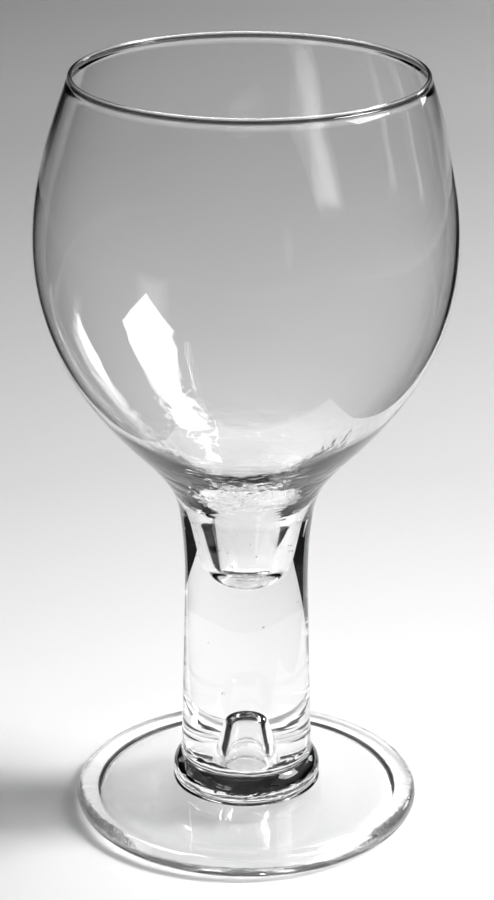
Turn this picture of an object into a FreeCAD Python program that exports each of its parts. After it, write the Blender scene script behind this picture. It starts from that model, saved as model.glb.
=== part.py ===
"""A water goblet of clear glass, blown and joined hot, so it is one solid.

The origin is on the table at the centre of the foot, +Z is up and lengths are in millimetres. Every
section is turned about the goblet's own axis: the outer form, the hollow of bowl and well, the bubble
that is shut in at the foot of the stem, the shallow rise under the foot and the melted rim.
"""
import FreeCAD, Part
import math
import os

import Sketcher

os.makedirs("parts", exist_ok=True)
doc = FreeCAD.newDocument("water_goblet")

# Heights that end in _rise, and spreads and insets, are measured from the feature before them, so
# whatever stands above or beside a feature moves with it.
SIZES = {
    # the disc foot
    "foot_radius": 40.0,
    "foot_edge_round": 2.3,
    "foot_middle_height": 6.6,
    "rest_ring": 2.7,
    "arch_rise": 1.7,
    "arch_dome_round": 800.0,
    "arch_edge_round": 6.0,
    # the bead where the stem was set on the foot
    "bead_spread": 1.5,
    "bead_round": 5.0,
    "bead_rise": 6.1,
    # the stem, with its waist and the neck where it turns out into the bowl
    "stem_base_radius": 15.2,
    "waist_round": 130.0,
    "waist_inset": 1.05,
    "waist_rise": 44.6,
    "neck_spread": 1.1,
    "neck_rise": 16.2,
    "neck_round": 19.8,
    "neck_turn": 27.4,
    # the bowl, from the flare above the neck up to the rim
    "flare_round": 52.0,
    "belly_round": 108.0,
    "belly_turn": 8.1,
    "bowl_radius": 47.0,
    "widest_rise": 64.0,
    "side_round": 73.0,
    "shoulder_rise": 14.1,
    "rim_inset": 7.9,
    "rim_rise": 23.3,
    "rim_roll": 0.5,
    # the hollow
    "wall": 0.9,
    "throat_round": 18.5,
    "well_slope": 8.0,
    "well_end_round": 6.6,
    "well_depth": 17.3,
    # the bubble
    "bubble_floor_rise": 4.0,
    "bubble_base_radius": 5.0,
    "bubble_corner": 0.7,
    "bubble_dome_radius": 3.3,
    "bubble_height": 14.3,
}
# places that follow from the sizes
PLACES = {
    "arch_radius": "foot_radius - foot_edge_round - rest_ring",
    "bead_root_radius": "stem_base_radius + bead_spread",
    "bead_top_height": "foot_middle_height + bead_rise",
    "waist_height": "bead_top_height + waist_rise",
    "waist_radius": "stem_base_radius - waist_inset",
    "neck_radius": "waist_radius + neck_spread",
    "neck_height": "waist_height + neck_rise",
    "widest_height": "neck_height + widest_rise",
    "shoulder_height": "widest_height + shoulder_rise",
    "rim_radius": "bowl_radius - rim_inset",
    "rim_height": "shoulder_height + rim_rise",
    "well_bottom": "neck_height - well_depth",
    "bubble_floor_height": "foot_middle_height + bubble_floor_rise",
    "bubble_top_height": "bubble_floor_height + bubble_height",
}
# how far the outline that cuts the arch runs on below the foot
OVERRUN = 1.0

sheet = doc.addObject("Spreadsheet::Sheet", "sizes")
rows = [(name, str(value)) for name, value in SIZES.items()]
rows += [(name, "=" + rule) for name, rule in PLACES.items()]
for row, (name, content) in enumerate(rows, start=1):
    sheet.set("A%d" % row, name)
    sheet.set("B%d" % row, content)
    sheet.setAlias("B%d" % row, name)
doc.recompute()


def size(name):
    """Reads one size from the sheet."""
    return float(sheet.get(name))


START, END, CENTRE = 1, 2, 3


class Outline:
    """Half a section, drawn on the XZ plane: x is the distance from the axis and y is the height."""

    def __init__(self, body, name):
        plane = [item for item in body.Origin.OriginFeatures if item.Role == "XZ_Plane"][0]
        self.sketch = body.newObject("Sketcher::SketchObject", name)
        self.sketch.AttachmentSupport = [(plane, "")]
        self.sketch.MapMode = "FlatFace"

    def line(self, start, end):
        ends = [FreeCAD.Vector(x, y, 0) for x, y in (start, end)]
        return self.sketch.addGeometry(Part.LineSegment(*ends), False)

    def arc(self, centre, start, end):
        """An arc that turns anticlockwise about its centre from start to end."""
        angles = [math.atan2(y - centre[1], x - centre[0]) for x, y in (start, end)]
        if angles[1] <= angles[0]:
            angles[1] += 2 * math.pi
        circle = Part.Circle(FreeCAD.Vector(*centre, 0), FreeCAD.Vector(0, 0, 1), math.dist(centre, start))
        return self.sketch.addGeometry(Part.ArcOfCircle(circle, *angles), False)

    def join(self, first, first_end, second, second_end):
        self.sketch.addConstraint(Sketcher.Constraint("Coincident", first, first_end, second, second_end))

    def blend(self, first, first_end, second, second_end):
        """Joins two ends so that the one runs on smoothly into the other."""
        self.sketch.addConstraint(Sketcher.Constraint("Tangent", first, first_end, second, second_end))

    def on_axis(self, item, end):
        """Puts a point on the goblet's own axis, which is the sketch's upright one."""
        self.sketch.addConstraint(Sketcher.Constraint("PointOnObject", item, end, -2))

    def on_table(self, item, end):
        """Puts a point on the level of the table, which is the sketch's other axis."""
        self.sketch.addConstraint(Sketcher.Constraint("PointOnObject", item, end, -1))

    def level(self, item):
        self.sketch.addConstraint(Sketcher.Constraint("Horizontal", item))

    def upright(self, item):
        self.sketch.addConstraint(Sketcher.Constraint("Vertical", item))

    def bind(self, kind, item, point, value, expression):
        """Sets a distance or radius, and ties it to the sheet."""
        place = (item,) if point is None else (item, point)
        number = self.sketch.addConstraint(Sketcher.Constraint(kind, *place, value))
        self.sketch.setExpression("Constraints[%d]" % number, expression)

    def across(self, item, point, value, expression):
        self.bind("DistanceX", item, point, value, expression)

    def up(self, item, point, value, expression):
        self.bind("DistanceY", item, point, value, expression)

    def radius(self, item, value, expression):
        self.bind("Radius", item, None, value, expression)

    def measured_radius(self, item, value, name):
        """Names the radius that an arc has found for itself, so that another outline can follow it."""
        number = self.sketch.addConstraint(Sketcher.Constraint("Radius", item, value))
        self.sketch.setDriving(number, False)
        self.sketch.renameConstraint(number, name)


def toward(centre, point, radius):
    """The point at this radius from the centre, on the ray through the given point."""
    share = radius / math.dist(centre, point)
    return tuple(c + share * (p - c) for c, p in zip(centre, point))


def touching(centre_a, radius_a, centre_b, radius_b, side):
    """Where two circles cross, on the left (1) or right (-1) of the way from a to b."""
    gap = math.dist(centre_a, centre_b)
    along = (radius_a**2 - radius_b**2 + gap**2) / (2 * gap)
    off = math.sqrt(radius_a**2 - along**2)
    ux, uy = [(b - a) / gap for a, b in zip(centre_a, centre_b)]
    return centre_a[0] + along * ux - side * off * uy, centre_a[1] + along * uy + side * off * ux


def centre_through(start, first_centre, end):
    """The centre of the arc that runs on smoothly at start from the arc about first_centre, and meets end."""
    way = [(c - s) / math.dist(start, first_centre) for c, s in zip(first_centre, start)]
    chord = [e - s for e, s in zip(end, start)]
    radius = math.hypot(*chord)**2 / (2 * (chord[0] * way[0] + chord[1] * way[1]))
    return start[0] + radius * way[0], start[1] + radius * way[1]


def side_radius(height, centre, radius):
    """How far from the axis a convex arc stands at this height."""
    return centre[0] + math.sqrt(radius**2 - (height - centre[1])**2)


def leaning(angle):
    """The outward normal of the bowl's side where the side leans out by this angle from upright."""
    return math.cos(angle), -math.sin(angle)


def cheek_for(lean, turn, flare_centre, flare_round, belly_round, widest):
    """The end of the flare at this lean, the end of the belly above it, and the cheek's radius that
    takes the outline from there to the height of the widest ring. The last value is how far short of
    the widest ring that outline comes."""
    low, high = leaning(lean), leaning(lean - turn)
    flare_top = (flare_centre[0] - flare_round * low[0], flare_centre[1] - flare_round * low[1])
    belly_top = tuple(f + belly_round * (h - l) for f, h, l in zip(flare_top, high, low))
    cheek_round = (widest[1] - belly_top[1]) / -high[1]
    return flare_top, belly_top, cheek_round, widest[0] - belly_top[0] - cheek_round * (1 - high[0])


def volume_after(feature, before, grows):
    """Recomputes and checks that the last feature changed the glass in the right direction."""
    doc.recompute()
    volume = feature.Shape.Volume
    if (volume > before) != grows:
        raise RuntimeError("%s didn't change the solid as it should" % feature.Name)
    return volume


def turned(body, kind, name, outline):
    """Turns an outline about the goblet's axis, to add glass or to take it away."""
    feature = body.newObject(kind, name)
    feature.Profile = outline.sketch
    feature.ReferenceAxis = (outline.sketch, ["V_Axis"])
    feature.Angle = 360
    return feature


goblet = doc.addObject("PartDesign::Body", "goblet")
goblet.Label = "goblet"

# The outer form: foot, bead, waisted stem, flare and balloon bowl, up to the middle of the rim.
form = Outline(goblet, "outer_outline")
edge_round = size("foot_edge_round")
bead_root = (size("bead_root_radius"), size("foot_middle_height"))
stem_base = (size("stem_base_radius"), size("bead_top_height"))
waist = (size("waist_radius"), size("waist_height"))
neck = (size("neck_radius"), size("neck_height"))
widest = (size("bowl_radius"), size("widest_height"))
rim = (size("rim_radius"), size("rim_height"))

edge_centre = (size("foot_radius") - edge_round, edge_round)
edge_foot = (edge_centre[0], 0.0)
reach = math.dist(edge_centre, bead_root)
edge_turn = math.atan2(bead_root[1] - edge_centre[1], bead_root[0] - edge_centre[0])
edge_turn -= math.acos(edge_round / reach)
edge_way = (edge_centre[0] + math.cos(edge_turn), edge_centre[1] + math.sin(edge_turn))
edge_top = toward(edge_centre, edge_way, edge_round)

base_line = form.line((0.0, 0.0), edge_foot)
foot_edge = form.arc(edge_centre, edge_foot, edge_top)
foot_top = form.line(edge_top, bead_root)
form.on_table(base_line, START)
form.level(base_line)
form.blend(base_line, END, foot_edge, START)
form.blend(foot_edge, END, foot_top, START)
form.radius(foot_edge, edge_round, "sizes.foot_edge_round")
form.across(foot_edge, CENTRE, edge_centre[0], "sizes.foot_radius - sizes.foot_edge_round")

bead_centre = touching(bead_root, size("bead_round"), stem_base, size("bead_round"), 1)
bead = form.arc(bead_centre, bead_root, stem_base)
form.join(foot_top, END, bead, START)
form.across(bead, START, bead_root[0], "sizes.bead_root_radius")
form.up(bead, START, bead_root[1], "sizes.foot_middle_height")
form.radius(bead, size("bead_round"), "sizes.bead_round")

# The stem tapers straight into the curve of its waist, and swells again to the neck.
waist_round = size("waist_round")
waist_centre = (waist[0] + waist_round, waist[1])
reach = math.dist(stem_base, waist_centre)
down = math.atan2(stem_base[1] - waist_centre[1], stem_base[0] - waist_centre[0])
down -= math.acos(waist_round / reach)
taper_way = (waist_centre[0] + math.cos(down), waist_centre[1] + math.sin(down))
taper_end = toward(waist_centre, taper_way, waist_round)
upper_round = math.dist(waist, neck)**2 / (2 * (neck[0] - waist[0]))

stem_taper = form.line(stem_base, taper_end)
waist_lower = form.arc(waist_centre, waist, taper_end)
waist_upper = form.arc((waist[0] + upper_round, waist[1]), neck, waist)
form.join(bead, END, stem_taper, START)
form.across(stem_taper, START, stem_base[0], "sizes.stem_base_radius")
form.up(stem_taper, START, stem_base[1], "sizes.bead_top_height")
form.blend(stem_taper, END, waist_lower, END)
form.radius(waist_lower, waist_round, "sizes.waist_round")
form.across(waist_lower, START, waist[0], "sizes.waist_radius")
form.up(waist_lower, START, waist[1], "sizes.waist_height")
form.up(waist_lower, CENTRE, waist[1], "sizes.waist_height")
form.blend(waist_lower, START, waist_upper, END)
form.across(waist_upper, START, neck[0], "sizes.neck_radius")
form.up(waist_upper, START, neck[1], "sizes.neck_height")

# From the neck the outline turns out into the flare of the bowl, and closes in again towards the rim. The
# cheek's radius isn't set: it is found, so that the curve closes at the widest ring.
neck_round = size("neck_round")
neck_turn = math.radians(size("neck_turn"))
flare_round = size("flare_round")
belly_round = size("belly_round")
belly_turn = math.radians(size("belly_turn"))
neck_lean = math.asin((neck[1] - waist[1]) / upper_round)
neck_out = leaning(neck_lean)
neck_centre = (neck[0] + neck_round * neck_out[0], neck[1] + neck_round * neck_out[1])
flare_out = leaning(neck_lean + neck_turn)
flare_foot = (neck_centre[0] - neck_round * flare_out[0], neck_centre[1] - neck_round * flare_out[1])
flare_centre = toward(flare_foot, neck_centre, flare_round)
least, most = belly_turn + math.radians(1), math.radians(85)
while most - least > 1e-12:
    lean = (least + most) / 2
    short = cheek_for(lean, belly_turn, flare_centre, flare_round, belly_round, widest)[3]
    least, most = (lean, most) if short > 0 else (least, lean)
flare_top, belly_top, cheek_round, _ = cheek_for(
    lean, belly_turn, flare_centre, flare_round, belly_round, widest)
belly_centre = toward(flare_centre, flare_top, flare_round + belly_round)
cheek_centre = (widest[0] - cheek_round, widest[1])
side_centre = (widest[0] - size("side_round"), widest[1])
shoulder = (side_radius(size("shoulder_height"), side_centre, size("side_round")), size("shoulder_height"))
shoulder_centre = centre_through(shoulder, side_centre, rim)

neck_curve = form.arc(neck_centre, flare_foot, neck)
flare = form.arc(flare_centre, flare_top, flare_foot)
belly = form.arc(belly_centre, flare_top, belly_top)
cheek = form.arc(cheek_centre, belly_top, widest)
side = form.arc(side_centre, widest, shoulder)
shoulder_arc = form.arc(shoulder_centre, shoulder, rim)
top_line = form.line(rim, (0.0, rim[1]))
axis_line = form.line((0.0, rim[1]), (0.0, 0.0))
form.blend(waist_upper, START, neck_curve, END)
form.radius(neck_curve, neck_round, "sizes.neck_round")
form.bind("Angle", neck_curve, None, neck_turn, "sizes.neck_turn * 1 deg")
form.blend(neck_curve, START, flare, END)
form.radius(flare, flare_round, "sizes.flare_round")
form.blend(flare, START, belly, START)
form.radius(belly, belly_round, "sizes.belly_round")
form.bind("Angle", belly, None, belly_turn, "sizes.belly_turn * 1 deg")
form.blend(belly, END, cheek, START)
form.across(cheek, END, widest[0], "sizes.bowl_radius")
form.up(cheek, END, widest[1], "sizes.widest_height")
form.up(cheek, CENTRE, widest[1], "sizes.widest_height")
form.measured_radius(cheek, cheek_round, "cheek_round")
form.blend(cheek, END, side, START)
form.radius(side, size("side_round"), "sizes.side_round")
form.up(side, END, shoulder[1], "sizes.shoulder_height")
form.blend(side, END, shoulder_arc, START)
form.across(shoulder_arc, END, rim[0], "sizes.rim_radius")
form.up(shoulder_arc, END, rim[1], "sizes.rim_height")
form.join(shoulder_arc, END, top_line, START)
form.level(top_line)
form.join(top_line, END, axis_line, START)
form.join(axis_line, END, base_line, START)
form.on_axis(base_line, START)
form.upright(axis_line)

blank = turned(goblet, "PartDesign::Revolution", "outer_form", form)
volume = volume_after(blank, 0.0, True)

# The hollow: a thin wall down to the cheek, then a throat that narrows like a trumpet into the well, which
# ends round. The glass between it and the outside thickens all the way down.
hollow = Outline(goblet, "hollow_outline")
wall = size("wall")
throat_round = size("throat_round")
end_round = size("well_end_round")
well_slope = math.radians(size("well_slope"))
well_bottom = (0.0, size("well_bottom"))
end_centre = (0.0, well_bottom[1] + end_round)
outward = (math.cos(well_slope), -math.sin(well_slope))
upward = (math.sin(well_slope), math.cos(well_slope))
end_top = toward(end_centre, (outward[0], end_centre[1] + outward[1]), end_round)
throat_off = toward(end_centre, (outward[0], end_centre[1] + outward[1]), end_round + throat_round)
lag = [c - t for c, t in zip(cheek_centre, throat_off)]
along = lag[0] * upward[0] + lag[1] * upward[1]
square_off = lag[0] * outward[0] + lag[1] * outward[1]
inner_cheek_round = cheek_round - wall
climb = along - math.sqrt((inner_cheek_round + throat_round)**2 - square_off**2)
throat_centre = (throat_off[0] + climb * upward[0], throat_off[1] + climb * upward[1])
side_end = (end_top[0] + climb * upward[0], end_top[1] + climb * upward[1])
throat_top = toward(cheek_centre, throat_centre, inner_cheek_round)
inner_widest = (widest[0] - wall, widest[1])
inner_shoulder = toward(side_centre, shoulder, size("side_round") - wall)
inner_rim = (rim[0] - wall, rim[1])

well_end = hollow.arc(end_centre, well_bottom, end_top)
well_side = hollow.line(end_top, side_end)
throat = hollow.arc(throat_centre, throat_top, side_end)
inner_cheek = hollow.arc(cheek_centre, throat_top, inner_widest)
inner_side = hollow.arc(side_centre, inner_widest, inner_shoulder)
inner_top = hollow.arc(centre_through(inner_shoulder, side_centre, inner_rim), inner_shoulder, inner_rim)
mouth_line = hollow.line(inner_rim, (0.0, rim[1]))
hollow_axis = hollow.line((0.0, rim[1]), well_bottom)
hollow.on_axis(well_end, START)
hollow.on_axis(well_end, CENTRE)
hollow.up(well_end, START, well_bottom[1], "sizes.well_bottom")
hollow.radius(well_end, end_round, "sizes.well_end_round")
hollow.blend(well_end, END, well_side, START)
hollow.bind("Angle", well_side, None, math.pi / 2 - well_slope, "(90 - sizes.well_slope) * 1 deg")
hollow.blend(well_side, END, throat, END)
hollow.radius(throat, throat_round, "sizes.throat_round")
hollow.blend(throat, START, inner_cheek, START)
hollow.radius(inner_cheek, inner_cheek_round, "outer_outline.Constraints.cheek_round - sizes.wall * 1 mm")
hollow.across(inner_cheek, END, inner_widest[0], "sizes.bowl_radius - sizes.wall")
hollow.up(inner_cheek, END, widest[1], "sizes.widest_height")
hollow.up(inner_cheek, CENTRE, widest[1], "sizes.widest_height")
hollow.blend(inner_cheek, END, inner_side, START)
hollow.radius(inner_side, size("side_round") - wall, "sizes.side_round - sizes.wall")
hollow.up(inner_side, END, inner_shoulder[1],
          "sizes.widest_height + sizes.shoulder_rise * (sizes.side_round - sizes.wall) / sizes.side_round")
hollow.blend(inner_side, END, inner_top, START)
hollow.across(inner_top, END, inner_rim[0], "sizes.rim_radius - sizes.wall")
hollow.up(inner_top, END, rim[1], "sizes.rim_height")
hollow.join(inner_top, END, mouth_line, START)
hollow.level(mouth_line)
hollow.join(mouth_line, END, hollow_axis, START)
hollow.join(hollow_axis, END, well_end, START)
hollow.upright(hollow_axis)

hollowed = turned(goblet, "PartDesign::Groove", "bowl_and_well", hollow)
volume = volume_after(hollowed, volume, False)

# The rim was melted round in the flame, which left it a little thicker than the wall.
roll = Outline(goblet, "rim_outline")
roll_centre = (rim[0] - wall / 2, rim[1])
rolled = roll.sketch.addGeometry(
    Part.Circle(FreeCAD.Vector(*roll_centre, 0), FreeCAD.Vector(0, 0, 1), size("rim_roll")), False)
roll.radius(rolled, size("rim_roll"), "sizes.rim_roll")
roll.across(rolled, CENTRE, roll_centre[0], "sizes.rim_radius - sizes.wall / 2")
roll.up(rolled, CENTRE, rim[1], "sizes.rim_height")
rim_roll = turned(goblet, "PartDesign::Revolution", "melted_rim", roll)
volume = volume_after(rim_roll, volume, True)

# The foot stands on its outer ring. Inside it the underside turns up and then runs in a shallow dome.
arch = Outline(goblet, "arch_outline")
arch_base = (size("arch_radius"), 0.0)
arch_top = (0.0, size("arch_rise"))
dome_round = size("arch_dome_round")
bend_round = size("arch_edge_round")
dome_middle = (0.0, arch_top[1] - dome_round)
bend_centre = touching(dome_middle, dome_round - bend_round, arch_base, bend_round, 1)
if bend_centre[0] > arch_base[0]:
    bend_centre = touching(dome_middle, dome_round - bend_round, arch_base, bend_round, -1)
bend_top = toward(dome_middle, bend_centre, dome_round)

arch_dome = arch.arc(dome_middle, bend_top, arch_top)
arch_bend = arch.arc(bend_centre, arch_base, bend_top)
arch_axis = arch.line(arch_top, (0.0, -OVERRUN))
arch_below = arch.line((0.0, -OVERRUN), (arch_base[0], -OVERRUN))
arch_side = arch.line((arch_base[0], -OVERRUN), arch_base)
arch.on_axis(arch_dome, CENTRE)
arch.on_axis(arch_dome, END)
arch.up(arch_dome, END, arch_top[1], "sizes.arch_rise")
arch.radius(arch_dome, dome_round, "sizes.arch_dome_round")
arch.blend(arch_dome, START, arch_bend, END)
arch.radius(arch_bend, bend_round, "sizes.arch_edge_round")
arch.across(arch_bend, START, arch_base[0], "sizes.arch_radius")
arch.on_table(arch_bend, START)
arch.join(arch_dome, END, arch_axis, START)
arch.upright(arch_axis)
arch.join(arch_axis, END, arch_below, START)
arch.up(arch_below, START, -OVERRUN, "%g" % -OVERRUN)
arch.level(arch_below)
arch.join(arch_below, END, arch_side, START)
arch.upright(arch_side)
arch.join(arch_side, END, arch_bend, START)
arched = turned(goblet, "PartDesign::Groove", "foot_arch", arch)
volume = volume_after(arched, volume, False)

# The bubble: a pin pressed a hole in the hot stem, and the foot closed it, so its floor is flat.
bubble = Outline(goblet, "bubble_outline")
dome_radius = size("bubble_dome_radius")
base_radius = size("bubble_base_radius")
corner = size("bubble_corner")
floor_height = size("bubble_floor_height")
dome_centre = (0.0, size("bubble_top_height") - dome_radius)
corner_centre = (base_radius - corner, floor_height + corner)
reach = math.dist(dome_centre, corner_centre)
side_turn = math.atan2(dome_centre[1] - corner_centre[1], dome_centre[0] - corner_centre[0])
side_turn -= math.acos((corner - dome_radius) / reach)
side_way = (math.cos(side_turn), math.sin(side_turn))
dome_end = (dome_centre[0] + dome_radius * side_way[0], dome_centre[1] + dome_radius * side_way[1])
corner_top = (corner_centre[0] + corner * side_way[0], corner_centre[1] + corner * side_way[1])
corner_foot = (corner_centre[0], floor_height)

dome = bubble.arc(dome_centre, dome_end, (0.0, size("bubble_top_height")))
bubble_side = bubble.line(corner_top, dome_end)
bubble_corner = bubble.arc(corner_centre, corner_foot, corner_top)
bubble_floor = bubble.line((0.0, floor_height), corner_foot)
bubble_axis = bubble.line((0.0, size("bubble_top_height")), (0.0, floor_height))
bubble.on_axis(dome, CENTRE)
bubble.on_axis(dome, END)
bubble.up(dome, END, size("bubble_top_height"), "sizes.bubble_top_height")
bubble.radius(dome, dome_radius, "sizes.bubble_dome_radius")
bubble.blend(dome, START, bubble_side, END)
bubble.blend(bubble_side, START, bubble_corner, END)
bubble.radius(bubble_corner, corner, "sizes.bubble_corner")
bubble.across(bubble_corner, CENTRE, corner_centre[0], "sizes.bubble_base_radius - sizes.bubble_corner")
bubble.blend(bubble_corner, START, bubble_floor, END)
bubble.level(bubble_floor)
bubble.up(bubble_floor, START, floor_height, "sizes.bubble_floor_height")
bubble.join(bubble_floor, START, bubble_axis, END)
bubble.join(bubble_axis, START, dome, END)
bubble.upright(bubble_axis)
trapped = turned(goblet, "PartDesign::Groove", "trapped_bubble", bubble)
volume_after(trapped, volume, False)

goblet.Placement = FreeCAD.Placement()
doc.recompute()
for item in doc.Objects:
    if "Invalid" in item.State or "Error" in item.State:
        raise RuntimeError("%s failed: %s" % (item.Name, item.State))
if goblet.Shape.isNull() or not goblet.Shape.isValid() or len(goblet.Shape.Solids) != 1:
    raise RuntimeError("the goblet isn't one valid solid")
goblet.Shape.exportStep("parts/%s.step" % goblet.Label)
box = goblet.Shape.optimalBoundingBox()
print("goblet: %.1f x %.1f x %.1f mm, %.2f cm3 of glass" % (
    box.XLength, box.YLength, box.ZLength, goblet.Shape.Volume / 1000))
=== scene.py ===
"""A water goblet of clear glass on a pale sheet, in a dark room with one large lamp.

Lengths in the goblet's sections are millimetres, as in its drawing, and MM takes them to metres. The
origin is on the table at the centre of the foot, +Z is up and the camera looks along +Y.
"""

import math

import bpy
import numpy as np
from mathutils import Matrix, Vector


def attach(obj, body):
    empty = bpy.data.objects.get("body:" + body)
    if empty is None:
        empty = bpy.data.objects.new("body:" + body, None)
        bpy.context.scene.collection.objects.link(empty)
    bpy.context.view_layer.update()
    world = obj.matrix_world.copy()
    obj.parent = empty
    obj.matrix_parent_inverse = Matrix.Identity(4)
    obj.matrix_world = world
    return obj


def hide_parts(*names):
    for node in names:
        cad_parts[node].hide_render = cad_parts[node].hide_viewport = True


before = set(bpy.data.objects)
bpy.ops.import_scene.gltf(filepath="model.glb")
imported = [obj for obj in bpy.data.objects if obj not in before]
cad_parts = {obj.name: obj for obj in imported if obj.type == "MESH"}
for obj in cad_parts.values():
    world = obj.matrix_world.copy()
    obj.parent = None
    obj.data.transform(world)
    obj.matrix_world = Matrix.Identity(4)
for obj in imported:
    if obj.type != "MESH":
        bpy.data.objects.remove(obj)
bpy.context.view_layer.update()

MM = 0.001

# The camera stands a little above the rim and looks down into the bowl.
# It was placed by the ellipses of the rim and of the foot.
CAMERA_PLACE = (0.0, -0.584, 0.31904)
CAMERA_DOWN = 21.57
CAMERA_LENS = 111.04
CAMERA_SENSOR = 36.0
CAMERA_SHIFT = 0.0007

camera = bpy.data.objects.new("camera", bpy.data.cameras.new("camera"))
bpy.context.scene.collection.objects.link(camera)
bpy.context.scene.camera = camera
camera.location = CAMERA_PLACE
camera.rotation_euler = (math.radians(90 - CAMERA_DOWN), 0, 0)
camera.data.sensor_fit = "VERTICAL"
camera.data.sensor_width = CAMERA_SENSOR
camera.data.sensor_height = CAMERA_SENSOR
camera.data.lens = CAMERA_LENS
camera.data.shift_x = CAMERA_SHIFT
camera.data.clip_start = 0.02
camera.data.clip_end = 20


# The goblet is blown, drawn and joined hot, so it is one solid of clear soda-lime glass.
# Its wall is thin in the bowl and runs down into a solid stem, with the hollow ending in a narrow well.
# The foot was pressed on over a pricked hole, which left a bubble of air shut in above it.
FOOT_RADIUS = 40.0
FOOT_EDGE_ROUND = 2.3
ARCH_RADIUS = 35.0
ARCH_RISE = 1.7
ARCH_DOME_ROUND = 800.0
ARCH_EDGE_ROUND = 6.0
BEAD_ROOT = (16.7, 6.6)
BEAD_ROUND = 5.0
STEM_BASE = (15.2, 12.7)
WAIST = (14.15, 57.3)
WAIST_ROUND = 130.0
NECK = (15.25, 73.5)
NECK_ROUND = 19.8
NECK_TURN = math.radians(27.4)
FLARE_ROUND = 52.0
BELLY_ROUND = 108.0
BELLY_TURN = math.radians(8.1)
WIDEST = (47.0, 137.5)
SIDE_ROUND = 73.0
SHOULDER_HEIGHT = 151.6
RIM = (39.1, 174.9)
RIM_ROLL = 0.5
WALL = 0.9
THROAT_ROUND = 18.5
WELL_SLOPE = math.radians(8)
WELL_END_ROUND = 6.6
WELL_BOTTOM = 56.2
BUBBLE_FLOOR = 10.6
BUBBLE_BASE_RADIUS = 5.0
BUBBLE_CORNER = 0.7
BUBBLE_DOME_RADIUS = 3.3
BUBBLE_TOP = 24.9
SEGMENTS = 208
UPPER_WAIST_ROUND = math.dist(WAIST, NECK)**2 / (2 * (NECK[0] - WAIST[0]))


def toward(centre, point, radius):
    """The point at this radius from the centre, on the ray through the given point."""
    share = radius / math.dist(centre, point)
    return tuple(c + share * (p - c) for c, p in zip(centre, point))


def touching(centre_a, radius_a, centre_b, radius_b):
    """Where two circles cross, on the left of the way from a to b."""
    gap = math.dist(centre_a, centre_b)
    along = (radius_a**2 - radius_b**2 + gap**2) / (2 * gap)
    off = math.sqrt(radius_a**2 - along**2)
    ux, uy = [(b - a) / gap for a, b in zip(centre_a, centre_b)]
    return centre_a[0] + along * ux - off * uy, centre_a[1] + along * uy + off * ux


def centre_through(start, first_centre, end):
    """The centre of the arc that runs on smoothly at start from the arc before it, and meets end."""
    way = [(c - s) / math.dist(start, first_centre) for c, s in zip(first_centre, start)]
    chord = [e - s for e, s in zip(end, start)]
    radius = math.hypot(*chord)**2 / (2 * (chord[0] * way[0] + chord[1] * way[1]))
    return start[0] + radius * way[0], start[1] + radius * way[1]


def run(start, end, step):
    """Points along a straight run without its start, no further apart than the step."""
    count = max(1, math.ceil(math.dist(start, end) / step))
    return [tuple(s + (e - s) * k / count for s, e in zip(start, end)) for k in range(1, count + 1)]


def bend(centre, start, end, step):
    """Points along the shorter arc about a centre without its start, no further apart than the step."""
    first = math.atan2(start[1] - centre[1], start[0] - centre[0])
    turn = math.atan2(end[1] - centre[1], end[0] - centre[0]) - first
    turn = (turn + math.pi) % (2 * math.pi) - math.pi
    radius = math.dist(centre, start)
    count = max(2, math.ceil(abs(turn) * radius / step))
    angles = [first + turn * k / count for k in range(1, count + 1)]
    return [(centre[0] + radius * math.cos(a), centre[1] + radius * math.sin(a)) for a in angles]


def cheek_for(lean, flare_centre):
    """The ends of the flare and of the belly at this lean, the cheek's radius, and how far short of the
    widest ring the cheek then ends.
    """
    low, high = [(math.cos(a), -math.sin(a)) for a in (lean, lean - BELLY_TURN)]
    flare_top = tuple(f - FLARE_ROUND * l for f, l in zip(flare_centre, low))
    belly_top = tuple(f + BELLY_ROUND * (h - l) for f, h, l in zip(flare_top, high, low))
    cheek_round = (WIDEST[1] - belly_top[1]) / -high[1]
    return flare_top, belly_top, cheek_round, WIDEST[0] - belly_top[0] - cheek_round * (1 - high[0])


def lower_bowl():
    """The centres of the curves from the neck up to the widest ring, each with the point where it ends."""
    lean = math.asin((NECK[1] - WAIST[1]) / UPPER_WAIST_ROUND)
    neck_centre = (NECK[0] + NECK_ROUND * math.cos(lean), NECK[1] - NECK_ROUND * math.sin(lean))
    lean += NECK_TURN
    flare_foot = (neck_centre[0] - NECK_ROUND * math.cos(lean), neck_centre[1] + NECK_ROUND * math.sin(lean))
    flare_centre = toward(flare_foot, neck_centre, FLARE_ROUND)
    least, most = BELLY_TURN + math.radians(1), math.radians(85)
    while most - least > 1e-12:
        lean = (least + most) / 2
        least, most = (lean, most) if cheek_for(lean, flare_centre)[3] > 0 else (least, lean)
    flare_top, belly_top, cheek_round, _ = cheek_for(lean, flare_centre)
    belly_centre = toward(flare_centre, flare_top, FLARE_ROUND + BELLY_ROUND)
    cheek_centre = (WIDEST[0] - cheek_round, WIDEST[1])
    return [(neck_centre, flare_foot), (flare_centre, flare_top), (belly_centre, belly_top),
            (cheek_centre, WIDEST)]


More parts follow.
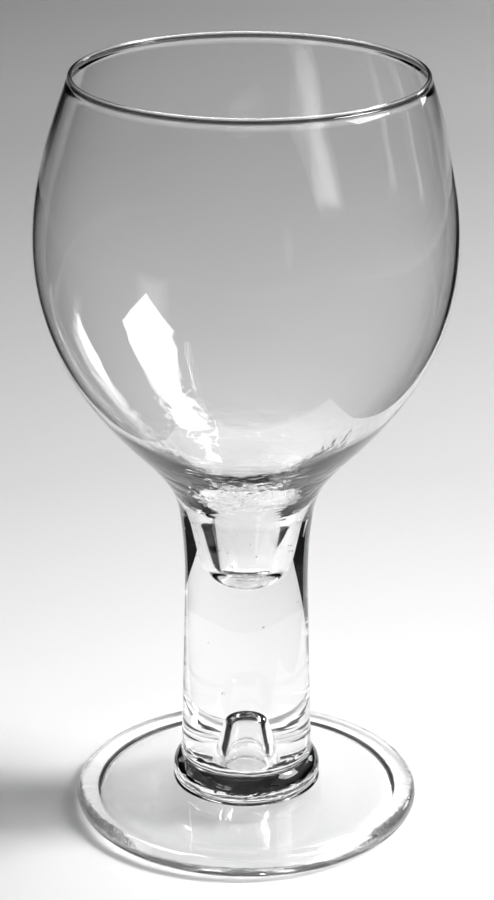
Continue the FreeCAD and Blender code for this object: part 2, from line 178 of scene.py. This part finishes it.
def outer_section():
    """The outside, from the middle of the arch under the foot up to the rim."""
    dome_middle = (0.0, ARCH_RISE - ARCH_DOME_ROUND)
    arch_base = (ARCH_RADIUS, 0.0)
    bend_centre = touching(dome_middle, ARCH_DOME_ROUND - ARCH_EDGE_ROUND, arch_base, ARCH_EDGE_ROUND)
    bend_top = toward(dome_middle, bend_centre, ARCH_DOME_ROUND)
    edge_centre = (FOOT_RADIUS - FOOT_EDGE_ROUND, FOOT_EDGE_ROUND)
    reach = math.dist(edge_centre, BEAD_ROOT)
    turn = math.atan2(BEAD_ROOT[1] - edge_centre[1], BEAD_ROOT[0] - edge_centre[0])
    turn -= math.acos(FOOT_EDGE_ROUND / reach)
    edge_side = (FOOT_RADIUS, FOOT_EDGE_ROUND)
    edge_top = tuple(c + FOOT_EDGE_ROUND * f(turn) for c, f in zip(edge_centre, (math.cos, math.sin)))
    bead_centre = touching(BEAD_ROOT, BEAD_ROUND, STEM_BASE, BEAD_ROUND)

    waist_centre = (WAIST[0] + WAIST_ROUND, WAIST[1])
    down = math.atan2(STEM_BASE[1] - waist_centre[1], STEM_BASE[0] - waist_centre[0])
    down -= math.acos(WAIST_ROUND / math.dist(STEM_BASE, waist_centre))
    taper_end = tuple(c + WAIST_ROUND * f(down) for c, f in zip(waist_centre, (math.cos, math.sin)))

    points = [(0.0, ARCH_RISE)]
    points += bend(dome_middle, points[-1], bend_top, 1.7)
    points += bend(bend_centre, points[-1], arch_base, 0.3)
    points += run(points[-1], (edge_centre[0], 0.0), 0.9)
    points += bend(edge_centre, points[-1], edge_side, 0.22)
    points += bend(edge_centre, points[-1], edge_top, 0.22)
    points += run(points[-1], BEAD_ROOT, 0.9)
    points += bend(bead_centre, points[-1], STEM_BASE, 0.35)
    points += run(points[-1], taper_end, 1.6)
    points += bend(waist_centre, points[-1], WAIST, 1.2)
    points += bend((WAIST[0] + UPPER_WAIST_ROUND, WAIST[1]), points[-1], NECK, 1.2)
    for (centre, end), step in zip(lower_bowl(), (0.7, 0.8, 1.2, 1.3)):
        points += bend(centre, points[-1], end, step)
    side_centre, shoulder, shoulder_centre = upper_wall()
    points += bend(side_centre, points[-1], shoulder, 1.3)
    points += bend(shoulder_centre, points[-1], RIM, 1.3)
    return points


def upper_wall():
    """The centre of the bowl's upper side, the shoulder where it turns in, and the arc's centre above."""
    side_centre = (WIDEST[0] - SIDE_ROUND, WIDEST[1])
    rise = SHOULDER_HEIGHT - WIDEST[1]
    shoulder = (side_centre[0] + math.sqrt(SIDE_ROUND**2 - rise**2), SHOULDER_HEIGHT)
    return side_centre, shoulder, centre_through(shoulder, side_centre, RIM)


def inner_section():
    """The inside, from the rim down the throat to the bottom of the well."""
    cheek_centre = lower_bowl()[-1][0]
    inner_cheek_round = WIDEST[0] - WALL - cheek_centre[0]
    end_centre = (0.0, WELL_BOTTOM + WELL_END_ROUND)
    outward = (math.cos(WELL_SLOPE), -math.sin(WELL_SLOPE))
    upward = (math.sin(WELL_SLOPE), math.cos(WELL_SLOPE))
    end_top = tuple(c + WELL_END_ROUND * o for c, o in zip(end_centre, outward))
    throat_off = tuple(c + (WELL_END_ROUND + THROAT_ROUND) * o for c, o in zip(end_centre, outward))
    lag = [c - t for c, t in zip(cheek_centre, throat_off)]
    square_off = lag[0] * outward[0] + lag[1] * outward[1]
    climb = lag[0] * upward[0] + lag[1] * upward[1]
    climb -= math.sqrt((inner_cheek_round + THROAT_ROUND)**2 - square_off**2)
    throat_centre = tuple(p + climb * u for p, u in zip(throat_off, upward))
    side_end = tuple(p + climb * u for p, u in zip(end_top, upward))
    throat_top = toward(cheek_centre, throat_centre, inner_cheek_round)
    side_centre, shoulder, _ = upper_wall()
    inner_shoulder = toward(side_centre, shoulder, SIDE_ROUND - WALL)
    inner_rim = (RIM[0] - WALL, RIM[1])

    points = [inner_rim]
    points += bend(centre_through(inner_shoulder, side_centre, inner_rim), points[-1], inner_shoulder, 1.3)
    points += bend(side_centre, points[-1], (WIDEST[0] - WALL, WIDEST[1]), 1.3)
    points += bend(cheek_centre, points[-1], throat_top, 1.2)
    points += bend(throat_centre, points[-1], side_end, 0.5)
    points += run(points[-1], end_top, 1.2)
    points += bend(end_centre, points[-1], (0.0, WELL_BOTTOM), 0.45)
    return points


def rolled_rim(outer, inner):
    """Joins the two walls by the round of the melted rim, which stands a little proud of both."""
    centre = (RIM[0] - WALL / 2, RIM[1])
    outer = [p for p in outer if math.dist(p, centre) > RIM_ROLL]
    inner = [p for p in inner if math.dist(p, centre) > RIM_ROLL]
    first, last = [toward(centre, p, RIM_ROLL) for p in (outer[-1], inner[0])]
    top = (centre[0], centre[1] + RIM_ROLL)
    return outer + [first] + bend(centre, first, top, 0.11) + bend(centre, top, last, 0.11) + inner


def bubble_section():
    """The trapped bubble, from the middle of its floor up to its domed top."""
    dome_centre = (0.0, BUBBLE_TOP - BUBBLE_DOME_RADIUS)
    corner_centre = (BUBBLE_BASE_RADIUS - BUBBLE_CORNER, BUBBLE_FLOOR + BUBBLE_CORNER)
    reach = math.dist(dome_centre, corner_centre)
    turn = math.atan2(dome_centre[1] - corner_centre[1], dome_centre[0] - corner_centre[0])
    turn -= math.acos((BUBBLE_CORNER - BUBBLE_DOME_RADIUS) / reach)
    way = (math.cos(turn), math.sin(turn))
    dome_end = tuple(c + BUBBLE_DOME_RADIUS * w for c, w in zip(dome_centre, way))
    corner_top = tuple(c + BUBBLE_CORNER * w for c, w in zip(corner_centre, way))
    points = [(0.0, BUBBLE_FLOOR)]
    points += run(points[-1], (corner_centre[0], BUBBLE_FLOOR), 0.6)
    points += bend(corner_centre, points[-1], corner_top, 0.15)
    points += run(points[-1], dome_end, 0.8)
    points += bend(dome_centre, points[-1], (0.0, BUBBLE_TOP), 0.3)
    return points


def lathe(section, segments, flip):
    """Vertices and faces of a section that starts and ends on the axis, turned once round.

    The faces of a section that runs from the bottom up look outward, and flip turns them inward.
    """
    angles = np.arange(segments) * 2 * math.pi / segments
    radii, heights = np.array(section[1:-1]).T
    rings = np.stack([radii[:, None] * np.cos(angles), radii[:, None] * np.sin(angles),
                      np.repeat(heights[:, None], segments, 1)], axis=2).reshape(-1, 3)
    vertices = np.vstack([rings, [(0.0, 0.0, section[0][1]), (0.0, 0.0, section[-1][1])]])
    here = np.arange(segments)
    after = (here + 1) % segments
    faces = []
    for ring in range(len(radii) - 1):
        low, high = ring * segments, (ring + 1) * segments
        faces += list(zip(low + here, low + after, high + after, high + here))
    last = (len(radii) - 1) * segments
    faces += list(zip(np.full(segments, len(rings)), after, here))
    faces += list(zip(last + here, last + after, np.full(segments, len(rings) + 1)))
    return vertices, [face[::-1] if flip else face for face in faces]


def ease(value, low, high):
    """Rises smoothly from 0 at low to 1 at high."""
    share = np.clip((value - low) / (high - low), 0, 1)
    return share * share * (3 - 2 * share)


RIM_LEAN, LEAN_FROM = 0.7, 150.0
RIM_TILT, TILT_FROM = 0.0036, 140.0
OVAL, THREE_SIDED = 0.035, 0.02
UNEVEN_WALL, UNEVEN_WALL_FINE = 0.05, 0.03
TRUE_AT_AXIS, TRUE_BELOW, BY_HAND_ABOVE = 12.0, 2.0, 20.0


def by_hand(points, inside):
    """Moves points as the maker's hand did: the rim leans and tilts, and the wall is never quite even."""
    x, y, z = points.T
    round_it = np.arctan2(y, x)
    radius = np.hypot(x, y)
    wave = OVAL * np.sin(2 * round_it + 0.7 + z / 31) + THREE_SIDED * np.sin(3 * round_it - 1.1 - z / 17)
    wave += inside * UNEVEN_WALL * np.sin(3 * round_it + 2.0 + z / 13)
    wave += inside * UNEVEN_WALL_FINE * np.sin(5 * round_it + z / 8)
    wave *= np.clip(radius / TRUE_AT_AXIS, 0, 1) * ease(z, TRUE_BELOW, BY_HAND_ABOVE)
    x = x + wave * np.cos(round_it) + RIM_LEAN * ease(z, LEAN_FROM, RIM[1])
    y = y + wave * np.sin(round_it)
    z = z - RIM_TILT * x * ease(z, TILT_FROM, RIM[1])
    return np.stack([x, y, z], axis=1)


outer, inner = outer_section(), inner_section()
wall_section = rolled_rim(outer, inner)
vertices, faces = lathe(wall_section, SEGMENTS, False)
depth_along = np.repeat(np.arange(1, len(wall_section) - 1), SEGMENTS)
inside = np.append((depth_along > len(wall_section) - len(inner)).astype(float), [0.0, 1.0])
vertices = by_hand(vertices, inside)

# Seeds are bubbles as small as grains of sand. A few are scattered, and more lie close round the well.
SEEDS = [((-4.0, -4.0, 30.5), 0.28), ((3.1, -6.0, 48.0), 0.22), ((9.5, -3.0, 52.5), 0.14),
         ((-9.0, 2.0, 69.5), 0.18), ((-7.5, -7.0, 44.0), 0.12)]
WELL_SEEDS = 22
WELL_SEED_GAP = 0.4
WELL_SEED_HEIGHTS = (61.0, 73.5)
WELL_SEED_RADII = (0.07, 0.17)
SEED_SEGMENTS = 14
BUBBLE_SEGMENTS = 96


def seed(place, radius):
    """A round seed in the glass."""
    section = [(radius * math.sin(a), -radius * math.cos(a)) for a in np.linspace(0, math.pi, 9)]
    points, sides = lathe(section, SEED_SEGMENTS, True)
    return points + np.array(place), sides


draw = np.random.default_rng(4)
for _ in range(WELL_SEEDS):
    seed_height, seed_turn = draw.uniform(*WELL_SEED_HEIGHTS), draw.uniform(0, 2 * math.pi)
    above_end = seed_height - WELL_BOTTOM - WELL_END_ROUND
    off_axis = WELL_END_ROUND + WELL_SEED_GAP + above_end * math.tan(WELL_SLOPE)
    seed_place = (off_axis * math.cos(seed_turn), off_axis * math.sin(seed_turn), seed_height)
    SEEDS.append((seed_place, draw.uniform(*WELL_SEED_RADII)))
bubble_vertices, bubble_faces = lathe(bubble_section(), BUBBLE_SEGMENTS, True)
hollows = [(by_hand(bubble_vertices, 0.0), bubble_faces)] + [seed(*spot) for spot in SEEDS]
for hollow_vertices, hollow_faces in hollows:
    faces += [tuple(i + len(vertices) for i in face) for face in hollow_faces]
    vertices = np.vstack([vertices, hollow_vertices])

goblet_mesh = bpy.data.meshes.new("goblet_glass")
goblet_mesh.from_pydata((vertices * MM).tolist(), [], [[int(i) for i in face] for face in faces])
goblet_mesh.shade_smooth()
goblet_glass = bpy.data.objects.new("goblet_glass", goblet_mesh)
bpy.context.scene.collection.objects.link(goblet_glass)


class Number:
    """A shader socket that carries a number, so that maths on it is written as plain arithmetic."""

    def __init__(self, shader, socket):
        self.shader, self.socket = shader, socket

    def math(self, operation, first, second):
        made = self.shader.node("Math", {"operation": operation}, {0: first, 1: second})
        return Number(self.shader, made.outputs[0])

    def __add__(self, other):
        return self.math("ADD", self, other)

    def __sub__(self, other):
        return self.math("SUBTRACT", self, other)

    def __rsub__(self, other):
        return self.math("SUBTRACT", other, self)

    def __mul__(self, other):
        return self.math("MULTIPLY", self, other)

    __radd__ = __add__
    __rmul__ = __mul__


class Shader:
    """The nodes of one material or world."""

    def __init__(self, owner):
        owner.use_nodes = True
        self.tree = owner.node_tree
        self.tree.nodes.clear()

    def node(self, kind, settings, inputs):
        """Adds a node, makes its settings first and then sets or links its inputs."""
        made = self.tree.nodes.new("ShaderNode" + kind)
        for name, value in settings.items():
            if name == "stops":
                ramp = made.color_ramp
                while len(ramp.elements) < len(value):
                    ramp.elements.new(0.5)
                for element, (place, grey) in zip(ramp.elements, value):
                    element.position = place
                    element.color = (grey, grey, grey, 1)
            else:
                setattr(made, name, value)
        for name, value in inputs.items():
            if isinstance(value, Number):
                self.tree.links.new(value.socket, made.inputs[name])
            elif isinstance(value, bpy.types.NodeSocket):
                self.tree.links.new(value, made.inputs[name])
            else:
                made.inputs[name].default_value = value
        return made

    def number(self, kind, settings, inputs, output):
        return Number(self, self.node(kind, settings, inputs).outputs[output])

    def between(self, value, ends, most=1.0):
        """Runs evenly from 0 at the first end to the most at the second."""
        inputs = {"Value": value, "From Min": ends[0], "From Max": ends[1], "To Max": most}
        return self.number("MapRange", {}, inputs, "Result")


GLASS_BENDS = 1.52
CORD_STRETCH, CORD_DEPTH = (14.0, 14.0, 55.0), 0.03
RIPPLE_STRETCH = (1.0, 1.0, 2.2)
RIPPLES = {"Scale": 190.0, "Detail": 1.5, "Distortion": 0.8}
FLARE_RIPPLES, FLARE_RIPPLES_FROM, FLARE_RIPPLES_TO = 0.40, (0.074, 0.083), (0.095, 0.086)
FOOT_RIPPLES, BEAD_FROM, BEAD_TO = 0.14, (0.0068, 0.0080), (0.017, 0.013)
EDGE_RIPPLES_FROM = (0.0335, 0.0375)
WORN_TO, WORN_ROUGHNESS = (0.0006, 0.0001), 0.45
FILM_FROM, FILM_ROUGHNESS = (0.62, 0.8), 0.02
SOLID_FROM, SOLID_TO = (0.007, 0.012), (0.100, 0.085)
CLEAR_SHARE = 0.30
SOLID_SHADE = 0.75
clear_glass = bpy.data.materials.new("clear_glass")
glass = Shader(clear_glass)
place = glass.node("TexCoord", {}, {}).outputs["Object"]
apart = glass.node("SeparateXYZ", {}, {"Vector": place})
height = Number(glass, apart.outputs["Z"])
stretched = glass.node("Mapping", {}, {"Vector": place, "Scale": CORD_STRETCH}).outputs["Vector"]
cords = glass.number("TexNoise", {}, {"Vector": stretched, "Scale": 1.0, "Detail": 2.0}, "Fac")
wavy_place = glass.node("Mapping", {}, {"Vector": place, "Scale": RIPPLE_STRETCH}).outputs["Vector"]
waves = glass.number("TexNoise", {}, {"Vector": wavy_place, **RIPPLES}, "Fac")
in_flare = glass.between(height, FLARE_RIPPLES_FROM) * glass.between(height, FLARE_RIPPLES_TO)
flattened = glass.node("VectorMath", {"operation": "MULTIPLY"}, {0: place, 1: (1.0, 1.0, 0.0)})
from_axis = glass.number("VectorMath", {"operation": "LENGTH"}, {0: flattened.outputs["Vector"]}, "Value")
at_foot = glass.between(height, BEAD_FROM) + glass.between(from_axis, EDGE_RIPPLES_FROM)
ripples = in_flare * FLARE_RIPPLES + glass.between(height, BEAD_TO) * at_foot * FOOT_RIPPLES
surface = cords * CORD_DEPTH + waves * ripples
swirl = glass.node("Bump", {}, {"Strength": 1.0, "Distance": 0.001, "Height": surface})
scratches = glass.number("TexNoise", {}, {"Vector": place, "Scale": 2600.0, "Detail": 3.0}, "Fac")
worn = glass.between(height, WORN_TO) * scratches * WORN_ROUGHNESS
smears = glass.number("TexNoise", {}, {"Vector": place, "Scale": 38.0, "Detail": 4.0}, "Fac")
film = glass.between(smears, FILM_FROM, FILM_ROUGHNESS)
tint = glass.node("ValToRGB", {"stops": [(0.0, 0.985), (1.0, 1.0)]}, {"Fac": cords})
glass_shader = glass.node("BsdfPrincipled", {}, {
    "Base Color": tint.outputs["Color"], "Roughness": worn + film, "Transmission Weight": 1.0,
    "IOR": GLASS_BENDS, "Normal": swirl.outputs["Normal"]})
in_shadow = glass.number("LightPath", {}, {}, "Is Shadow Ray")
facing = glass.number("LayerWeight", {}, {"Blend": 0.35}, "Facing")
solid = glass.between(height, SOLID_FROM) * glass.between(height, SOLID_TO)
let_by = in_shadow * CLEAR_SHARE * (1.0 - facing) * (1.0 - solid * SOLID_SHADE)
shadow_side = glass.node("BsdfTransparent", {}, {"Color": (0.97, 0.97, 0.97, 1)})
both = glass.node("MixShader", {}, {
    0: let_by, 1: glass_shader.outputs["BSDF"], 2: shadow_side.outputs["BSDF"]})
glass.node("OutputMaterial", {}, {"Surface": both.outputs["Shader"]})
goblet_mesh.materials.append(clear_glass)

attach(goblet_glass, "root")
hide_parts("goblet")


# The sheet that the goblet stands on is matt white paper, which runs far back and then up behind.
# Its colour holds painted light for the lamp's falloff: it is palest at the goblet, greyed behind it by
# painted shade, painted unequally from left to right, and painted dark far off at the front and the sides.
SHEET_LEFT, SHEET_RIGHT = -0.9, 1.2
SHEET_FRONT, SHEET_BEND = -1.5, 0.95
SHEET_ROUND, SHEET_TOP = 0.25, 0.9
SHEET_LEVEL = -0.0003
# Painted light: these greys stand for the lamp's light falling away over the sheet, not for the paper's own
# colour.
PAINTED_FALLOFF_RUN = 1.4
SHEET_PAINTED_FALLOFF = [(0.0, 0.85), (0.06, 0.82), (0.15, 0.67), (0.24, 0.61), (0.34, 0.58), (0.42, 0.58),
               (0.50, 0.65), (0.64, 0.73), (0.8, 0.25), (1.0, 0.02)]
PAINTED_LIGHT_ACROSS = 0.9
PAINTED_LIGHT_TURN = 1.85
FIBRE_TONES = (0.99, 0.02)
PAINTED_FAR_SHADE = 0.03
PAINTED_FRONT_FADE = (-0.85, -0.08)
PAINTED_SIDE_FADE = (0.85, 0.2)

side_view = [(SHEET_FRONT, 0.0), (SHEET_BEND, 0.0)]
side_view += bend((SHEET_BEND, SHEET_ROUND), side_view[-1], (SHEET_BEND + SHEET_ROUND, SHEET_ROUND), 0.03)
side_view += [(SHEET_BEND + SHEET_ROUND, SHEET_TOP)]
corners = [(x, y, z + SHEET_LEVEL) for y, z in side_view for x in (SHEET_LEFT, SHEET_RIGHT)]
sheet_mesh = bpy.data.meshes.new("sheet")
sheet_mesh.from_pydata(corners, [], [(k, k + 1, k + 3, k + 2) for k in range(0, len(corners) - 2, 2)])
sheet_mesh.shade_smooth()
sheet = bpy.data.objects.new("sheet", sheet_mesh)
bpy.context.scene.collection.objects.link(sheet)
white_paper = bpy.data.materials.new("white_paper")
paper = Shader(white_paper)
paper_place = paper.node("TexCoord", {}, {}).outputs["Object"]
paper_apart = paper.node("SeparateXYZ", {}, {"Vector": paper_place})
far_off = paper.number("VectorMath", {"operation": "LENGTH"}, {0: paper_place}, "Value")
# The base colour is painted falloff of light: painted shade greys the sheet with distance from the goblet.
back = paper.number("MapRange", {}, {"Value": far_off, "From Max": PAINTED_FALLOFF_RUN}, "Result")
painted_falloff = paper.number("ValToRGB", {"stops": SHEET_PAINTED_FALLOFF}, {"Fac": back}, "Color")
fibres = paper.number("TexNoise", {}, {"Vector": paper_place, "Scale": 700.0, "Detail": 3.0}, "Fac")
rightward = Number(paper, paper_apart.outputs["X"])
sideways = paper.number("Math", {"operation": "ABSOLUTE"}, {0: rightward}, "Value")
# Painted light and shade from left to right, and painted shade darkening the sheet far off at the front and
# the sides.
level = 1.0 - rightward * (PAINTED_LIGHT_ACROSS - far_off * PAINTED_LIGHT_TURN)
for off, fade in ((paper_apart.outputs["Y"], PAINTED_FRONT_FADE), (sideways, PAINTED_SIDE_FADE)):
    level = level * paper.number("MapRange", {"interpolation_type": "SMOOTHSTEP"}, {
        "Value": off, "From Min": fade[0], "From Max": fade[1], "To Min": PAINTED_FAR_SHADE}, "Result")
paper_shader = paper.node("BsdfPrincipled", {}, {
    "Base Color": painted_falloff * level * (fibres * FIBRE_TONES[1] + FIBRE_TONES[0]),
    "Roughness": 0.9, "Specular IOR Level": 0.1})
paper.node("OutputMaterial", {}, {"Surface": paper_shader.outputs["BSDF"]})
sheet_mesh.materials.append(white_paper)


# Black cards lie on the sheet at both sides and in front, outside the picture.
# Only the glass sees them: they make the dark edges of the bowl and the stem.
CARD_LEVEL = 0.0005
RIGHT_CARD = [(0.092, -0.15), (0.60, -0.15), (0.60, 0.65), (0.26, 0.65), (0.150, 0.32), (0.115, 0.13),
              (0.092, 0.0)]
FRONT_CARD = [(-0.60, -0.60), (0.60, -0.60), (0.60, -0.062), (-0.60, -0.062)]
LEFT_CARD = [(-0.60, -0.15), (-0.065, -0.15), (-0.062, 0.0), (-0.100, 0.14), (-0.135, 0.32), (-0.25, 0.65),
             (-0.60, 0.65)]


def flat_card(name, corners, level, material):
    """A level card that only the glass can show."""
    mesh = bpy.data.meshes.new(name)
    mesh.from_pydata([(x, y, level) for x, y in corners], [], [range(len(corners))])
    mesh.materials.append(material)
    card = bpy.data.objects.new(name, mesh)
    bpy.context.scene.collection.objects.link(card)
    card.visible_camera = False
    card.visible_diffuse = False
    card.visible_shadow = False
    return card


def glowing(name, strength):
    """A material that gives plain white light."""
    light = bpy.data.materials.new(name)
    shader = Shader(light)
    glow = shader.node("Emission", {}, {"Color": (1, 1, 1, 1), "Strength": strength})
    shader.node("OutputMaterial", {}, {"Surface": glow.outputs["Emission"]})
    return light


black_card = bpy.data.materials.new("black_card")
card = Shader(black_card)
card_shader = card.node("BsdfPrincipled", {}, {
    "Base Color": (0.01, 0.01, 0.01, 1), "Roughness": 0.9, "Specular IOR Level": 0.0})
card.node("OutputMaterial", {}, {"Surface": card_shader.outputs["BSDF"]})
for name, corners in (("right_card", RIGHT_CARD), ("left_card", LEFT_CARD), ("front_card", FRONT_CARD)):
    flat_card(name, corners, CARD_LEVEL, black_card)


# Three bright streaks lie on the sheet at the left, outside the picture, and the right of the bowl mirrors
# them. Each has a near and a far end, a width at each and a strength, and is brightest along its middle.
STREAK_LEVEL = 0.002
STREAKS = [((-0.087, -0.070), (-0.600, -0.520), 0.034, 0.270, 2.6),
           ((-0.173, 0.056), (-0.363, 0.052), 0.016, 0.050, 1.2),
           ((-0.184, 0.152), (-0.332, 0.228), 0.014, 0.040, 1.2)]
STREAK_STEPS = [(1.0, 0.25), (0.75, 0.5), (0.5, 0.78), (0.28, 1.0)]
NEAR_FADE, FAR_FADE = 0.06, 0.45

for number, (near, far, near_width, far_width, strength) in enumerate(STREAKS, start=1):
    along = (Vector(far) - Vector(near)).normalized()
    square = Vector((-along.y, along.x))
    for step, (share, part) in enumerate(STREAK_STEPS, start=1):
        near_half = square * near_width * share / 2
        far_half = square * far_width * share / 2
        start = Vector(near) + along * NEAR_FADE * (1 - share)
        end = Vector(far) - (Vector(far) - Vector(near)) * FAR_FADE * (1 - share)
        corners = [start + near_half, start - near_half, end - far_half, end + far_half]
        streak_light = glowing("streak_light_%d_%d" % (number, step), strength * part)
        strip = flat_card("streak_%d_%d" % (number, step), corners, STREAK_LEVEL * step, streak_light)
        strip.visible_glossy = False


# One large lamp hangs above and to the right, with a stronger core, and the room round it is dark.
# It can't be seen, so its outline is given by the corners of its mirror image in the bowl, in pixels of the
# photo. Two paler windows are given the same way, and a panel overhead lights the rim and the bead.
PICTURE_WIDE, PICTURE_HIGH = 494, 900
LAMP_CORNERS = [(145, 295), (121, 324), (126, 336), (128, 344), (152, 384), (168, 404), (178, 423), (185, 429),
                (202, 434.5), (205, 434), (204, 421), (183, 398), (176, 382), (175, 364), (175.6, 351),
                (169.6, 340), (172.6, 333.6)]
LAMP_FOOT_CORNERS = [(202, 435.5), (210, 436), (221, 444), (219, 451), (206, 447), (201, 440)]
LAMP_EDGE_CORNERS = [(185.2, 344), (184, 354), (186.6, 368), (190.8, 381), (191.4, 380), (187.6, 368),
                     (185, 354), (186, 344)]
WINDOW_CORNERS = [(77, 315), (79, 334), (90, 361), (106, 384), (116, 395), (111, 382), (100, 360), (86, 336)]
FAR_WINDOW_CORNERS = [(67, 330), (71, 345), (77, 358), (89, 378), (106, 394), (99, 383), (86, 362),
                      (76, 345)]
LAMP_TARGET = Vector((-0.025, 0.030, 0.120))
LAMP_WAY = Vector((0.72, 0.107, 0.68)).normalized()
LAMP_LONG_SIDE = Vector((-0.403, 0.88, 0.25))
LAMP_DISTANCE = 0.9
LAMP_GLOW, WINDOW_GLOW, FAR_WINDOW_GLOW = 9.5, 6.0, 2.5
CORE_LENGTH, CORE_WIDTH = 0.20, 0.16
CORE_PLACE = Vector((-0.06, 0.01, -0.02))
CORE_POWER = 6.1
PANEL = [(-0.5, 0.25), (0.6, 0.25), (0.6, 1.0), (-0.5, 1.0)]
PANEL_LEVEL = 1.2
PANEL_GLOW = 14.0
ROOM_GREY = 0.03

lamp_across = (LAMP_LONG_SIDE - LAMP_LONG_SIDE.dot(LAMP_WAY) * LAMP_WAY).normalized()
lamp_axes = Matrix((lamp_across, LAMP_WAY.cross(lamp_across), LAMP_WAY))
lamp_centre = LAMP_TARGET + LAMP_WAY * LAMP_DISTANCE


def mirrored(pixel):
    """The point of the lamp's plane that is seen at this pixel, mirrored by the inner back of the bowl."""
    lens_in_pixels = CAMERA_LENS / CAMERA_SENSOR * PICTURE_HIGH
    rightward = pixel[0] - PICTURE_WIDE / 2 + CAMERA_SHIFT * PICTURE_HIGH
    aim = Vector((rightward, PICTURE_HIGH / 2 - pixel[1], -lens_in_pixels)).normalized()
    sight = camera.rotation_euler.to_matrix() @ aim
    eye = Vector(CAMERA_PLACE) / MM
    cheek_round = WIDEST[0] - lower_bowl()[-1][0][0]
    near = -eye.xy.dot(sight.xy) / sight.xy.length_squared
    far = near + 2 * WIDEST[0]
    while far - near > 1e-4:
        middle = (near + far) / 2
        spot = eye + sight * middle
        curve = math.sqrt(max(0.0, cheek_round**2 - (spot.z - WIDEST[1])**2))
        is_inside = spot.xy.length < WIDEST[0] - WALL - cheek_round + curve
        near, far = (middle, far) if is_inside else (near, middle)
    outward = Vector((*(spot.xy.normalized() * curve), spot.z - WIDEST[1])).normalized()
    away = sight - 2 * sight.dot(outward) * outward
    from_lamp = spot - lamp_centre / MM
    met = lamp_axes @ (from_lamp - away * from_lamp.dot(LAMP_WAY) / away.dot(LAMP_WAY))
    return met.x * MM, met.y * MM


def hang(thing, offset):
    """Hangs a thing in the lamp's plane, this far from the middle of it, so that it faces the goblet."""
    bpy.context.scene.collection.objects.link(thing)
    thing.rotation_euler = lamp_axes.transposed().to_euler()
    thing.location = lamp_centre + lamp_axes.transposed() @ offset


for name, picked, strength in (("lamp", LAMP_CORNERS, LAMP_GLOW), ("lamp_foot", LAMP_FOOT_CORNERS, LAMP_GLOW),
                               ("lamp_edge", LAMP_EDGE_CORNERS, LAMP_GLOW),
                               ("window", WINDOW_CORNERS, WINDOW_GLOW),
                               ("far_window", FAR_WINDOW_CORNERS, FAR_WINDOW_GLOW)):
    shape = bpy.data.meshes.new(name)
    shape.from_pydata([(*mirrored(pixel), 0.0) for pixel in picked], [], [range(len(picked))])
    shape.materials.append(glowing(name + "_light", strength))
    lit = bpy.data.objects.new(name, shape)
    hang(lit, Vector((0.0, 0.0, 0.0)))
    lit.visible_camera = False
    lit.visible_diffuse = name.startswith("lamp")

core_lamp = bpy.data.lights.new("core", "AREA")
core_lamp.shape = "RECTANGLE"
core_lamp.size, core_lamp.size_y = CORE_LENGTH, CORE_WIDTH
core_lamp.energy = CORE_POWER
hang(bpy.data.objects.new("core", core_lamp), CORE_PLACE)

panel = flat_card("panel", PANEL, PANEL_LEVEL, glowing("panel_light", PANEL_GLOW))
panel.visible_transmission = False

room = bpy.context.scene.world or bpy.data.worlds.new("room")
bpy.context.scene.world = room
around = Shader(room)
dark = around.node("Background", {}, {"Color": (ROOM_GREY, ROOM_GREY, ROOM_GREY, 1), "Strength": 1.0})
around.node("OutputWorld", {}, {"Surface": dark.outputs["Background"]})

bpy.context.scene.view_settings.view_transform = "Standard"
